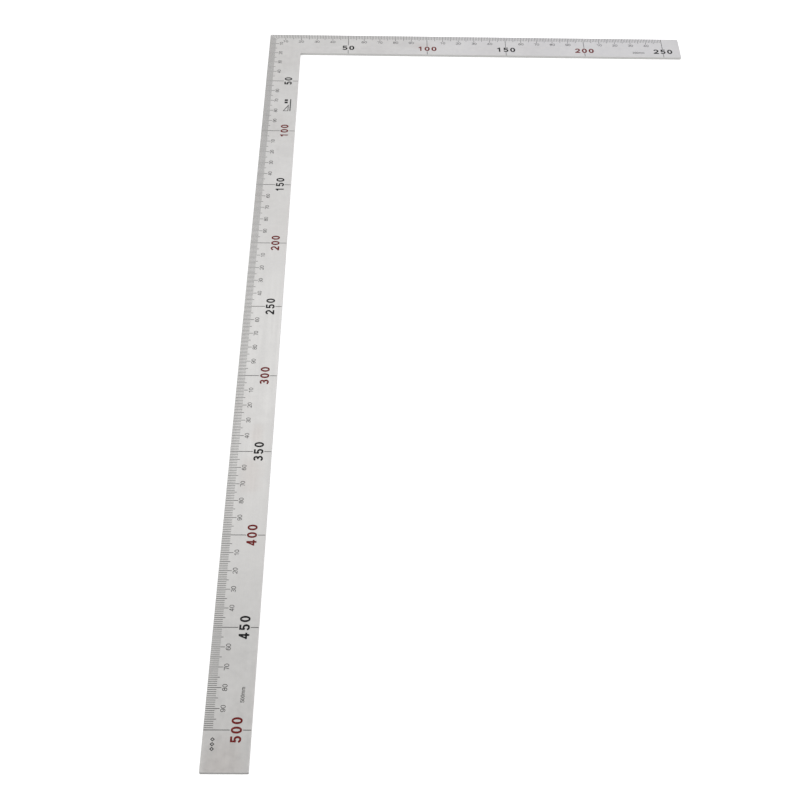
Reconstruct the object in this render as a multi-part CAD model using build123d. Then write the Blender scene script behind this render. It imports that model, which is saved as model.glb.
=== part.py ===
from build123d import *
import os
from functools import lru_cache
from math import ceil, hypot
from typing import NamedTuple

# A flat steel square: one L-shaped blade of sheet steel with two graduated arms.
#
# Frame: millimetres, +Z up. The origin is the outer corner on the underside, where both scales
# start. The short arm runs along +X and the long arm along -Y. "Along" is the distance from the
# outer corner along an arm, and "depth" is the distance in from that arm's outer edge.

# ---- blade ----
LONG_ARM = 519.2  # outer corner to free end
SHORT_ARM = 261.0
ARM_WIDTH = 20.0
THICKNESS = 1.5
EDGE_BREAK = 0.12  # deburring radius all round both faces
CORNER_RADIUS = 0.4  # every upright corner but the one below
TIP_RADIUS = 1.2  # inner corner at the free end of the short arm

# ---- ink, printed on the upper face ----
INK = 0.03  # thickness of a printed mark
EDGE_GAP = 0.2  # bare strip left along the blade's edges
MITRE_GAP = 0.3  # lines by the outer corner stop this short of the 45 degree line

# ---- graduations ----
LONG_SCALE = 500  # last graduation of each arm
SHORT_SCALE = 250
LINE_WIDTH = 0.2  # single millimetres
STRONG_WIDTH = 0.24  # fives and tens
MILLIMETRE_DEPTH = 4.0
FIVE_DEPTH = 5.0
TEN_DEPTH = 6.0
FIFTY_WIDTH = 0.29
FIFTY_BREAK = (11.0, 16.4)  # depths between which a fifty line is left open for its numeral


class Lettering(NamedTuple):
    """One size of figures: overall height and width, stroke widths, and centre-to-centre pitch."""

    height: float
    width: float
    stem: float  # width of upright strokes
    level: float  # width of level strokes
    pitch: float

    @property
    def side(self):
        """From the centre to the middle of an upright stroke at either side."""
        return (self.width - self.stem) / 2

    @property
    def top(self):
        """From the centre to the middle of a level stroke at the top or bottom."""
        return (self.height - self.level) / 2


LARGE = Lettering(height=4.6, width=3.25, stem=0.99, level=0.84, pitch=4.35)
SMALL = Lettering(height=2.1, width=1.55, stem=0.25, level=0.23, pitch=1.75)
LABEL = Lettering(height=1.65, width=1.15, stem=0.24, level=0.21, pitch=1.28)
UNIT = Lettering(height=1.65, width=1.6, stem=0.23, level=0.2, pitch=1.92)
LARGE_DEPTH = 13.72  # depth of each row's middle
SMALL_DEPTH = 7.45
LABEL_DEPTH = 15.2
LABEL_SHIFT = 1.92  # from a range label's middle to the middle of its figures, and to its unit's
LONG_LABEL_AT = 483.4
SHORT_LABEL_AT = 234.3

# ---- plain symbols beside the scale of the long arm ----
SYMBOL_AT = 74.6
SYMBOL_DEPTH = 14.1
SYMBOL_SIZE = (12.0, 4.6)
SYMBOL_STROKE = 0.42
LOZENGES_AT = 506.5
LOZENGES_DEPTH = 4.25
LOZENGE_SIZE = 1.9
LOZENGE_PITCH = 2.2
LOZENGE_STROKE = 0.34

# ---- strokes ----


def bar(start, end, width):
    """A straight stroke with square ends."""
    run = Vector(*end) - Vector(*start)
    middle = (Vector(*start) + Vector(*end)) * 0.5
    turn = Vector(1, 0, 0).get_signed_angle(run, Vector(0, 0, 1))
    return Pos(middle.X, middle.Y) * Rot(Z=turn) * Rectangle(run.length, width)


def trimmed(stroke, size):
    """A stroke cut off at the figure's height and width."""
    return stroke & Rectangle(size.width, size.height)


def oval(across, up):
    """A filled oval with these half-widths, drawn with four arcs that meet smoothly."""
    narrow = min(across, up)
    tall = max(across, up)
    end_radius = narrow * (narrow / tall) ** 0.5
    end_centre = tall - end_radius
    side_radius = (narrow**2 + end_centre**2 - end_radius**2) / (2 * (narrow - end_radius))
    side_centre = side_radius - narrow
    reach = side_radius / hypot(side_centre, end_centre)
    x = side_centre * (reach - 1)
    y = end_centre * reach
    outline = [
        ThreePointArc((x, y), (0, tall), (-x, y)),
        ThreePointArc((-x, y), (-narrow, 0), (-x, -y)),
        ThreePointArc((-x, -y), (0, -tall), (x, -y)),
        ThreePointArc((x, -y), (narrow, 0), (x, y)),
    ]
    face = make_face(outline)
    return face if up >= across else Rot(Z=90) * face


def loop(centre, across, up, size):
    """A closed oval stroke about a centre, heavier at its sides than at top and bottom."""
    outer = oval(across + size.stem / 2, up + size.level / 2)
    return Pos(*centre) * (outer - oval(across - size.stem / 2, up - size.level / 2))


def bend(centre, across, up, size, start, turn):
    """The part of a loop from one angle, in degrees, through a turn."""
    steps = ceil(turn / 45)
    far = Vector(3 * size.height, 0)
    rim = [far.rotate(Axis.Z, start + turn * n / steps) for n in range(steps + 1)]
    wedge = Polygon((0, 0), *[(point.X, point.Y) for point in rim], align=None)
    return loop(centre, across, up, size) & (Pos(*centre) * wedge)


def on_bend(centre, across, up, angle):
    """A point near the middle of a bend's stroke, at an angle in degrees."""
    point = Vector(1, 0).rotate(Axis.Z, angle)
    return (centre[0] + across * point.X, centre[1] + up * point.Y)


# ---- figures: the strokes of each, centred on the origin ----


def zero(size):
    return [loop((0, 0), size.side, size.top, size)]


def one(size):
    stem = 0.3 * size.side
    half = size.height / 2
    flag = bar((stem, 0.96 * size.top), (-0.85 * size.side, 0.5 * size.top), size.level)
    return [bar((stem, -half), (stem, half), 0.86 * size.stem), trimmed(flag, size)]


def two(size):
    up = 0.62 * size.top
    centre = (0, size.top - up)
    knee = on_bend(centre, size.side, up, -36)
    slope = bar(knee, (-size.side, -size.top), 0.92 * size.stem)
    return [
        bend(centre, size.side, up, size, -38, 203),
        Pos(*knee) * Circle(0.46 * size.stem),
        trimmed(slope, size),
        bar((-size.width / 2, -size.top), (size.width / 2, -size.top), size.level),
    ]


def three(size):
    high = 0.46 * size.top
    low = size.top - high
    waist = size.top - 2 * high
    return [
        bend((0, size.top - high), 0.9 * size.side, high, size, -90, 252),
        bend((0, low - size.top), size.side, low, size, -162, 252),
        bar((-0.35 * size.side, waist), (0, waist), size.level),
    ]


def four(size):
    stem = 0.42 * size.side
    beam = -0.5 * size.top
    half = size.height / 2
    slope = bar((-1.05 * size.side, beam), (stem - size.stem / 8, half), 0.76 * size.stem)
    return [
        bar((stem, -half), (stem, half), size.stem),
        bar((-size.width / 2, beam), (size.width / 2, beam), size.level),
        trimmed(slope, size),
    ]


def five(size):
    up = 0.62 * size.top
    centre = (0, up - size.top)
    heel = on_bend(centre, size.side, up, 146)
    neck = -0.72 * size.side
    flag_start = neck - 0.43 * size.stem
    return [
        bend(centre, size.side, up, size, -163, 310),
        trimmed(bar((neck, size.top), heel, 0.86 * size.stem), size),
        bar((flag_start, size.top), (size.side + size.stem / 4, size.top), size.level),
    ]


def six(size):
    up = 0.6 * size.top
    return [
        loop((0, up - size.top), size.side, up, size),
        bend((0, 0), size.side, size.top, size, 38, 170),
    ]


def seven(size):
    beam = bar((-size.width / 2, size.top), (size.width / 2, size.top), size.level)
    slope = bar((0.9 * size.side, size.top), (-0.35 * size.side, -size.height), size.stem)
    return [beam, trimmed(slope, size)]


def eight(size):
    high = 0.46 * size.top
    low = size.top - high
    return [
        loop((0, size.top - high), 0.88 * size.side, high, size),
        loop((0, low - size.top), size.side, low, size),
    ]


def nine(size):
    return [Rot(Z=180) * stroke for stroke in six(size)]


def letter_m(size):
    half = size.height / 2
    arch = size.side / 2
    crown = 0.22 * size.height
    arches = [bend((x, crown - arch), arch, 1.01 * arch, size, 0, 180) for x in (-arch, arch)]
    legs = [bar((x, -half), (x, crown - arch), size.stem) for x in (0, size.side)]
    first_leg = bar((-size.side, -half), (-size.side, crown + size.level / 2), size.stem)
    return arches + legs + [first_leg]


FIGURES = {
    "0": zero,
    "1": one,
    "2": two,
    "3": three,
    "4": four,
    "5": five,
    "6": six,
    "7": seven,
    "8": eight,
    "9": nine,
    "m": letter_m,
}


@lru_cache(maxsize=None)
def printed(figure, size):
    """One figure as a flat printed solid, standing on the XY plane."""
    return extrude(Sketch() + FIGURES[figure](size), amount=INK).solid()


# ---- places on the blade ----


def on_short_arm(along, depth):
    """A place on the short arm's upper face, with local X along the arm and local Y outward."""
    return Pos(along, -depth, THICKNESS)


def on_long_arm(along, depth):
    """The same on the long arm, where figures read from the free end towards the corner."""
    return Pos(depth, -along, THICKNESS) * Rot(Z=90)


def printed_row(place, text, size, along, depth, shift=0.0):
    """A row of figures centred on a place, or shifted from it in the reading direction."""
    start = shift - size.pitch * (len(text) - 1) / 2
    return [
        place(along, depth) * Pos(start + n * size.pitch) * printed(figure, size)
        for n, figure in enumerate(text)
    ]


def range_label(place, last, along):
    """An arm's range in millimetres: its figures, then the unit in wider letters."""
    figures = printed_row(place, str(last), LABEL, along, LABEL_DEPTH, -LABEL_SHIFT)
    unit = printed_row(place, "mm", UNIT, along, LABEL_DEPTH, LABEL_SHIFT)
    return figures + unit


def printed_line(place, along, start, end, width):
    """One graduation line across the arm, between two depths."""
    line = extrude(Rectangle(width, end - start), amount=INK).solid()
    return place(along, (start + end) / 2) * line


def printed_lines(place, values, depth, width):
    """Graduation lines from the outer edge in to a depth, mitred beside the outer corner."""
    return [
        printed_line(place, value, EDGE_GAP, min(depth, value - MITRE_GAP), width)
        for value in values
    ]


# ---- nodes ----


def write(node, solids):
    """One named piece, as a file of its own."""
    export_step(Compound(solids) if len(solids) > 1 else solids[0], f"parts/{node}.step")


def blade():
    """The steel sheet: an L with square arms, softened corners and deburred edges."""
    outline = Polyline(
        (0, 0),
        (SHORT_ARM, 0),
        (SHORT_ARM, -ARM_WIDTH),
        (ARM_WIDTH, -ARM_WIDTH),
        (ARM_WIDTH, -LONG_ARM),
        (0, -LONG_ARM),
        close=True,
    )
    sheet = extrude(make_face(outline), amount=THICKNESS)
    upright = sheet.edges().filter_by(Axis.Z)
    tip = upright.sort_by_distance((SHORT_ARM, -ARM_WIDTH, 0))[0]
    sheet = fillet([edge for edge in upright if edge != tip], CORNER_RADIUS)
    tip = sheet.edges().filter_by(Axis.Z).sort_by_distance((SHORT_ARM, -ARM_WIDTH, 0))[0]
    sheet = fillet(tip, TIP_RADIUS)
    rims = sheet.faces().filter_by(Axis.Z).edges()
    return fillet(rims, EDGE_BREAK).solid()


def write_scale(arm, place, last, label_at):
    """Every printed piece of one arm's scale."""
    values = range(1, last + 1)
    fifties = [v for v in values if v % 50 == 0]
    tens = [v for v in values if v % 10 == 0 and v % 50]
    fives = [v for v in values if v % 5 == 0 and v % 10]
    singles = [v for v in values if v % 5]
    write(f"{arm}_millimetre_lines", printed_lines(place, singles, MILLIMETRE_DEPTH, LINE_WIDTH))
    write(f"{arm}_five_lines", printed_lines(place, fives, FIVE_DEPTH, STRONG_WIDTH))
    write(f"{arm}_ten_lines", printed_lines(place, tens, TEN_DEPTH, STRONG_WIDTH))

    spans = ((EDGE_GAP, FIFTY_BREAK[0]), (FIFTY_BREAK[1], ARM_WIDTH - EDGE_GAP))
    write(
        f"{arm}_fifty_lines",
        [printed_line(place, v, start, end, FIFTY_WIDTH) for v in fifties for start, end in spans],
    )

    small = [printed_row(place, str(v % 100), SMALL, v, SMALL_DEPTH) for v in tens]
    write(f"{arm}_small_numerals", [figure for row in small for figure in row])
    for v in fifties:
        numeral = printed_row(place, str(v), LARGE, v, LARGE_DEPTH)
        write(f"{arm}_numeral_{v:03d}", numeral)
    write(f"{arm}_range_label", range_label(place, last, label_at))


def square_symbol():
    """A plain picture of a set square above an underline, followed by two solid blocks."""
    length, height = SYMBOL_SIZE
    underline = Pos(0, (0.6 - height) / 2) * Rectangle(length, 0.6)
    left, right = -length / 2, 0.6
    base, peak = 1.3 - height / 2, height / 2
    triangle = Polygon((left, base), (right, base), (left, peak), align=None)
    window = offset(triangle, amount=-SYMBOL_STROKE)
    blocks = [Pos(x, (base + peak) / 2) * Rectangle(1.6, 1.9) for x in (2.6, 4.9)]
    shapes = [underline, triangle - window] + blocks
    place = on_long_arm(SYMBOL_AT, SYMBOL_DEPTH)
    return [place * extrude(shape, amount=INK).solid() for shape in shapes]


def lozenges():
    """Three small open diamonds in a row."""
    diamond = Rot(Z=45) * Rectangle(LOZENGE_SIZE / 2**0.5, LOZENGE_SIZE / 2**0.5)
    hole = offset(diamond, amount=-LOZENGE_STROKE)
    shape = extrude(diamond - hole, amount=INK).solid()
    place = on_long_arm(LOZENGES_AT, LOZENGES_DEPTH)
    return [place * Pos(n * LOZENGE_PITCH) * shape for n in (-1, 0, 1)]


os.makedirs("parts", exist_ok=True)
write("blade", [blade()])
write_scale("long", on_long_arm, LONG_SCALE, LONG_LABEL_AT)
write_scale("short", on_short_arm, SHORT_SCALE, SHORT_LABEL_AT)
write("square_symbol", square_symbol())
write("lozenge_marks", lozenges())
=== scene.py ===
import math

import bpy
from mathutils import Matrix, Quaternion, Vector


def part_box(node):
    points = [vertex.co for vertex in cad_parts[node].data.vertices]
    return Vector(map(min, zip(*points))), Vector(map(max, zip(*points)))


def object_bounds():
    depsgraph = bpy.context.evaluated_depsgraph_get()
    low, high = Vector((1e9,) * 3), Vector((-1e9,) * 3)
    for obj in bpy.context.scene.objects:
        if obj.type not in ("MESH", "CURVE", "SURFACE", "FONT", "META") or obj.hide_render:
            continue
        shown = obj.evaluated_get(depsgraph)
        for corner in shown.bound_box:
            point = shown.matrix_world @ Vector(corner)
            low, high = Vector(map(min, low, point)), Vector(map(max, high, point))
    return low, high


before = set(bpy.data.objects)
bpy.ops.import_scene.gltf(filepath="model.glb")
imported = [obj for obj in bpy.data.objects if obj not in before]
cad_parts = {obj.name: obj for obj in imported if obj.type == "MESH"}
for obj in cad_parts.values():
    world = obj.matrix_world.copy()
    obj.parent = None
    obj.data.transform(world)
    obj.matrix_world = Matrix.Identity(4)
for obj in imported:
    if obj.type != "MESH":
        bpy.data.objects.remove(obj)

cad_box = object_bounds()

# The looks of a flat steel square, lying on a pale floor. Metres, +Z up: the blade's underside is
# at z = 0, its outer corner at x = y = 0, the short arm along +X and the long arm along -Y.

# ---- the blade, from model.glb ----
LONG_END = cad_box[0][1]
SHORT_END = cad_box[1][0]
ARM_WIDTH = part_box("long_fifty_lines")[1][0]  # the longest lines run right across the arm
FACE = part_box("blade")[1][2]

# ---- camera ----
CAMERA_AT = (0.07025, -0.80676, 0.53902)
CAMERA_AIM = (0.08159, -0.31573, 0.0015)
CAMERA_ROLL = 1.487  # degrees, anticlockwise seen from behind the camera
CAMERA_LENS = 66.1  # mm
SENSOR_WIDTH = 36.0  # mm
CAMERA_CLIP = (0.01, 50.0)

# ---- studio ----
WHITE = (1.0, 1.0, 1.0)
COOL = (0.85, 0.85, 1.3)
FLOOR_SIZE = 12.0
FLOOR_DROP = 0.0001  # below the underside, so that the two never share a plane
FLOOR_COLOUR = (0.9, 0.9, 0.9)
FLOOR_GLOW = 0.55  # a light table, so that the floor stays white round the square
FLOOR_ROUGHNESS = 0.9
FLOOR_SPECULAR = 0.1
HORIZON = (1.08, 1.08, 1.08)  # radiance of the surround, which meets the white floor unseen
SKY_LOW = (0.92, 0.92, 0.92)
SKY_HIGH = (0.55, 0.55, 0.55)
HORIZON_FADE = (0.05, 0.4)  # sines of the heights between which the horizon becomes the low sky
SKY_FADE = (0.76, 0.945)  # and between which the low sky becomes the high sky
SOFTBOXES = (  # name, place, aim, width, height, radiance and colour
    ("softbox_behind", (-0.11, 0.76, 1.18), (0.01, -0.3, 0.0), 1.0, 0.45, 0.58, WHITE),
    ("softbox_beyond", (0.56, 1.4, 0.95), (0.24, 0.0, 0.0), 0.9, 0.6, 0.17, COOL),
    ("softbox_overhead", (0.1, -0.26, 3.0), (0.1, -0.26, 0.0), 1.4, 1.4, 0.4, WHITE),
)

# ---- steel: its colours, as (darkest, lightest) where there are two ----
STEEL = ((0.573, 0.566, 0.555), (0.661, 0.653, 0.641))
STAIN = ((0.544, 0.523, 0.507), (0.633, 0.609, 0.591))
# Colours of the cut faces, darker than the top face: partly a duller cut finish and partly painted
# shade. The arms' ends carry more painted shade than the long sides.
SIDE_DULL_AND_SHADE = (0.44, 0.437, 0.43)
END_DULL_AND_SHADE = (0.29, 0.287, 0.28)
END_FACE_DEPTH = 0.0002  # how far in from the arms' ends a face still counts as an end face
STEEL_ROUGHNESS = (0.3, 0.42)
CUT_ROUGHNESS = 0.12  # added on cut edges
STEEL_BUMP = 0.25
# How far a surface faces up or down, from 0 to 1:
CUT_FADE = (0.35, 0.75)  # it is all cut edge below the first, and none above the second
RIM_FADE = (0.999, 0.93)  # it is no deburred rim above the first, and all rim below the second
STAINS = (  # where it has been handled: middle and reach, each along x and along y
    ((0.0125, -0.339), (0.004, 0.009)),
    ((0.0105, -0.365), (0.007, 0.016)),
    ((0.009, -0.514), (0.011, 0.013)),
    ((0.096, -0.011), (0.009, 0.005)),
)
STAIN_DEPTH = 0.001  # so that the underside stays clean
STAIN_FADE = (0.7, 1.7)  # reaches from the middle, plus the ragged edge's level, about a half
WARM_FADE = (0.45, 0.7)  # levels of the warmth pattern between which it sets in
WARM_MOST = 0.3  # its strength, where a stain's is 1

# ---- steel: patterns, as waves per metre, noise detail and noise roughness ----
GRAIN = ((4200.0, 90.0), 2.0, 0.6)  # these two have waves across and along the arm
STREAKS = ((520.0, 9.0), 3.0, 0.6)
MOTTLE = (300.0, 3.0, 0.6)
CLOUDS = (55.0, 3.0, 0.55)
PATCHES = (14.0, 2.0, 0.5)
WARMTH = (21.0, 3.0, 0.5)
STAIN_EDGE = (130.0, 3.0, 0.6)
TURN = (900.0, 2.0, 0.5)  # the ragged line where the grain turns from one arm to the other
TURN_RAGGED = 0.002
TURN_ENDS = 1.15  # in arm widths; the turn begins at one arm width

# ---- steel: how much each pattern counts ----
TONE_SHARES = {"mottle": 1.5, "clouds": 0.8, "streaks": 0.5, "grain": 0.5, "patches": 0.4}
DULL_SHARES = {"streaks": 0.5, "mottle": 0.5}
HEIGHT_SHARES = {"grain": 1.0, "streaks": 0.6}
DULL_RANGE = (0.35, 0.65)  # spread over the whole of STEEL_ROUGHNESS

# ---- ink: its colours, where it is (thin, full) ----
BLACK = ((0.012, 0.012, 0.013), (0.004, 0.004, 0.005))
RED = ((0.19, 0.016, 0.014), (0.135, 0.009, 0.008))
INK_ROUGHNESS = (0.42, 0.6)
INK_SPECULAR = 0.15
INK_BUMP = 0.2
COVER = (700.0, 4.0, 0.6)
COVER_RANGE = (0.35, 0.65)  # from thin to full
GLOSS_RANGE = (0.3, 0.7)  # spread over the whole of INK_ROUGHNESS
PEEL = (5200.0, 2.0, 0.5)

RELIEF = 0.00002  # height of the finest relief, on steel and on ink
MIDDLE = 0.5  # the level about which every pattern swings


class Graph:
    """Builds one node tree. A value is a socket, a number or a tuple."""

    def __init__(self, tree):
        self.tree = tree

    def put(self, socket, value):
        """Links a socket to an output, or sets it to a constant."""
        if isinstance(value, bpy.types.NodeSocket):
            self.tree.links.new(value, socket)
        elif socket.type == "RGBA":
            socket.default_value = (*value, 1.0)
        else:
            socket.default_value = value

    def node(self, kind, settings=(), **inputs):
        """A new node with a dict of settings. An input has Blender's name, with _ for a space."""
        made = self.tree.nodes.new(kind)
        for name, value in dict(settings).items():
            setattr(made, name, value)
        for name, value in inputs.items():
            self.put(made.inputs[name.replace("_", " ")], value)
        return made

    def math(self, operation, a, b=0.0, clamp=False):
        """A Math node's result."""
        made = self.node("ShaderNodeMath", {"operation": operation, "use_clamp": clamp})
        self.put(made.inputs[0], a)
        self.put(made.inputs[1], b)
        return made.outputs[0]

    def swing(self, start, pattern, share):
        """A number plus a share of how far a pattern is from its middle."""
        wave = self.math("MULTIPLY", self.math("SUBTRACT", pattern, MIDDLE), share)
        return self.math("ADD", start, wave)

    def total(self, patterns, shares):
        """Patterns summed about their middle, each by its share."""
        result = MIDDLE
        for name, share in shares.items():
            result = self.swing(result, patterns[name], share)
        return result

    def mapped(self, place, scale, shift=(0.0, 0.0, 0.0)):
        """Places scaled and then shifted."""
        return self.node("ShaderNodeMapping", Vector=place, Scale=scale, Location=shift).outputs[0]

    def noise(self, place, scale, detail, roughness):
        """Noise between about 0.25 and 0.75."""
        made = self.node("ShaderNodeTexNoise", Vector=place, Scale=scale, Detail=detail)
        self.put(made.inputs["Roughness"], roughness)
        return made.outputs["Fac"]

    def ramp(self, value, low, high, out_low=0.0, out_high=1.0):
        """A value mapped smoothly from low..high to out_low..out_high, and held there."""
        made = self.node("ShaderNodeMapRange", {"interpolation_type": "SMOOTHSTEP"}, Value=value)
        self.put(made.inputs["From Min"], low)
        self.put(made.inputs["From Max"], high)
        self.put(made.inputs["To Min"], out_low)
        self.put(made.inputs["To Max"], out_high)
        return made.outputs[0]

    def blend(self, factor, a, b):
        """Two numbers mixed."""
        made = self.node("ShaderNodeMix", {"data_type": "FLOAT"})
        self.put(made.inputs[0], factor)
        self.put(made.inputs[2], a)
        self.put(made.inputs[3], b)
        return made.outputs[0]

    def tint(self, factor, a, b):
        """Two colours mixed."""
        made = self.node("ShaderNodeMix", {"data_type": "RGBA"})
        self.put(made.inputs[0], factor)
        self.put(made.inputs[6], a)
        self.put(made.inputs[7], b)
        return made.outputs[2]


def new_material(name):
    """An empty node material, its graph, and its one Principled shader."""
    material = bpy.data.materials.new(name)
    material.use_nodes = True
    material.node_tree.nodes.clear()
    graph = Graph(material.node_tree)
    shader = graph.node("ShaderNodeBsdfPrincipled")
    graph.node("ShaderNodeOutputMaterial", Surface=shader.outputs[0])
    return material, graph, shader


def lengthwise(graph, place, on_short, waves, detail, roughness):
    """Noise drawn out along whichever arm it is on."""
    across, along = waves
    down = graph.mapped(place, (across, along, across))
    sideways = graph.mapped(place, (along, across, across))
    on_long_arm = graph.noise(down, 1.0, detail, roughness)
    on_short_arm = graph.noise(sideways, 1.0, detail, roughness)
    return graph.blend(on_short, on_long_arm, on_short_arm)


def stains(graph, place):
    """Faint warmth all over, and ragged handling stains on the face."""
    found = graph.ramp(graph.noise(place, *WARMTH), *WARM_FADE, 0.0, WARM_MOST)
    ragged = graph.noise(place, *STAIN_EDGE)
    for middle, reach in STAINS:
        scale = [1 / size for size in (*reach, STAIN_DEPTH)]
        shift = [-at * factor for at, factor in zip((*middle, FACE), scale)]
        placed = graph.mapped(place, scale, shift)
        away = graph.node("ShaderNodeVectorMath", {"operation": "LENGTH"}, Vector=placed)
        edge = graph.math("ADD", away.outputs["Value"], ragged)
        found = graph.math("MAXIMUM", found, graph.ramp(edge, *STAIN_FADE, 1.0, 0.0))
    return found


def steel():
    """Satin stainless sheet: lengthwise grain, mottling, handling stains, and rougher cut edges
    whose darker colour is partly a duller finish and partly painted shade.
    """
    material, graph, shader = new_material("satin_steel")
    coordinates = graph.node("ShaderNodeTexCoord")
    place = coordinates.outputs["Object"]
    apart = graph.node("ShaderNodeSeparateXYZ", Vector=place)
    x = apart.outputs["X"]
    y = apart.outputs["Y"]
    ragged_x = graph.swing(x, graph.noise(place, *TURN), TURN_RAGGED)
    on_short = graph.ramp(ragged_x, ARM_WIDTH, ARM_WIDTH * TURN_ENDS)
    patterns = {
        "grain": lengthwise(graph, place, on_short, *GRAIN),
        "streaks": lengthwise(graph, place, on_short, *STREAKS),
        "mottle": graph.noise(place, *MOTTLE),
        "clouds": graph.noise(place, *CLOUDS),
        "patches": graph.noise(place, *PATCHES),
    }

    facing = graph.node("ShaderNodeSeparateXYZ", Vector=coordinates.outputs["Normal"])
    upright = graph.math("ABSOLUTE", facing.outputs["Z"])
    cut = graph.ramp(upright, *CUT_FADE, 1.0, 0.0)
    rim = graph.math("SUBTRACT", graph.ramp(upright, *RIM_FADE), cut, clamp=True)
    at_long_end = graph.math("LESS_THAN", y, LONG_END + END_FACE_DEPTH)
    at_short_end = graph.math("GREATER_THAN", x, SHORT_END - END_FACE_DEPTH)
    end_faces = graph.math("MAXIMUM", at_long_end, at_short_end)

    tone = graph.total(patterns, TONE_SHARES)
    colour = graph.tint(tone, *STEEL)
    colour = graph.tint(stains(graph, place), colour, graph.tint(tone, *STAIN))
    # Cut faces darkened, partly as a duller finish and partly as painted shade, with the arms'
    # ends painted darkest.
    colour = graph.tint(cut, colour, graph.tint(end_faces, SIDE_DULL_AND_SHADE, END_DULL_AND_SHADE))
    graph.put(shader.inputs["Base Color"], graph.tint(rim, colour, STEEL[1]))
    graph.put(shader.inputs["Metallic"], 1.0)

    dull = graph.total(patterns, DULL_SHARES)
    rough = graph.ramp(dull, *DULL_RANGE, *STEEL_ROUGHNESS)
    rough = graph.math("ADD", rough, graph.math("MULTIPLY", cut, CUT_ROUGHNESS))
    graph.put(shader.inputs["Roughness"], rough)

    height = graph.total(patterns, HEIGHT_SHARES)
    bump = graph.node("ShaderNodeBump", Height=height, Strength=STEEL_BUMP, Distance=RELIEF)
    graph.put(shader.inputs["Normal"], bump.outputs[0])
    return material


def ink(name, thin, full):
    """Printed ink: slightly uneven cover and gloss, with a fine orange peel."""
    material, graph, shader = new_material(name)
    place = graph.node("ShaderNodeTexCoord").outputs["Object"]
    cover = graph.noise(place, *COVER)
    colour = graph.tint(graph.ramp(cover, *COVER_RANGE), thin, full)
    graph.put(shader.inputs["Base Color"], colour)
    graph.put(shader.inputs["Roughness"], graph.ramp(cover, *GLOSS_RANGE, *INK_ROUGHNESS))
    graph.put(shader.inputs["Specular IOR Level"], INK_SPECULAR)
    peel = graph.noise(place, *PEEL)
    bump = graph.node("ShaderNodeBump", Height=peel, Strength=INK_BUMP, Distance=RELIEF)
    graph.put(shader.inputs["Normal"], bump.outputs[0])
    return material


def floor():
    """A plain pale floor."""
    half = FLOOR_SIZE / 2
    corners = [(x * half, y * half, -FLOOR_DROP) for x, y in ((-1, -1), (1, -1), (1, 1), (-1, 1))]
    mesh = bpy.data.meshes.new("floor")
    mesh.from_pydata(corners, [], [(0, 1, 2, 3)])
    made = bpy.data.objects.new("floor", mesh)
    bpy.context.scene.collection.objects.link(made)
    material, graph, shader = new_material("pale_floor")
    graph.put(shader.inputs["Base Color"], FLOOR_COLOUR)
    graph.put(shader.inputs["Emission Color"], FLOOR_COLOUR)
    graph.put(shader.inputs["Emission Strength"], FLOOR_GLOW)
    graph.put(shader.inputs["Roughness"], FLOOR_ROUGHNESS)
    graph.put(shader.inputs["Specular IOR Level"], FLOOR_SPECULAR)
    mesh.materials.append(material)


def sky():
    """A soft white surround, brightest at the horizon and dimmest overhead."""
    world = bpy.data.worlds.new("studio")
    world.use_nodes = True
    world.node_tree.nodes.clear()
    graph = Graph(world.node_tree)
    direction = graph.node("ShaderNodeTexCoord").outputs["Generated"]
    height = graph.node("ShaderNodeSeparateXYZ", Vector=direction).outputs["Z"]
    low = graph.tint(graph.ramp(height, *HORIZON_FADE), HORIZON, SKY_LOW)
    colour = graph.tint(graph.ramp(height, *SKY_FADE), low, SKY_HIGH)
    background = graph.node("ShaderNodeBackground", Color=colour)
    graph.node("ShaderNodeOutputWorld", Surface=background.outputs[0])
    bpy.context.scene.world = world


def softbox(name, place, aim, width, height, radiance, colour):
    """An area light aimed at a point, given by how bright its face looks."""
    data = bpy.data.lights.new(name, "AREA")
    data.shape = "RECTANGLE"
    data.size = width
    data.size_y = height
    data.energy = radiance * math.pi * width * height
    data.color = colour
    made = bpy.data.objects.new(name, data)
    made.location = place
    made.rotation_euler = (Vector(aim) - Vector(place)).to_track_quat("-Z", "Y").to_euler()
    bpy.context.scene.collection.objects.link(made)


def camera():
    """The camera, at the height, distance and tilt from which the square is seen."""
    data = bpy.data.cameras.new("camera")
    data.sensor_width = SENSOR_WIDTH
    data.lens = CAMERA_LENS
    data.clip_start, data.clip_end = CAMERA_CLIP
    made = bpy.data.objects.new("camera", data)
    made.location = CAMERA_AT
    facing = (Vector(CAMERA_AIM) - Vector(CAMERA_AT)).to_track_quat("-Z", "Y")
    made.rotation_mode = "QUATERNION"
    made.rotation_quaternion = facing @ Quaternion((0, 0, 1), math.radians(CAMERA_ROLL))
    bpy.context.scene.collection.objects.link(made)
    bpy.context.scene.camera = made


camera()
sky()
floor()
for box in SOFTBOXES:
    softbox(*box)
bpy.context.scene.view_settings.view_transform = "Standard"

finishes = {
    "steel": steel(),
    "black_ink": ink("black_ink_print", *BLACK),
    "red_ink": ink("red_ink_print", *RED),
}
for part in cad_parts.values():
    for slot in part.material_slots:
        slot.material = finishes[slot.material.name.split(".")[0]]
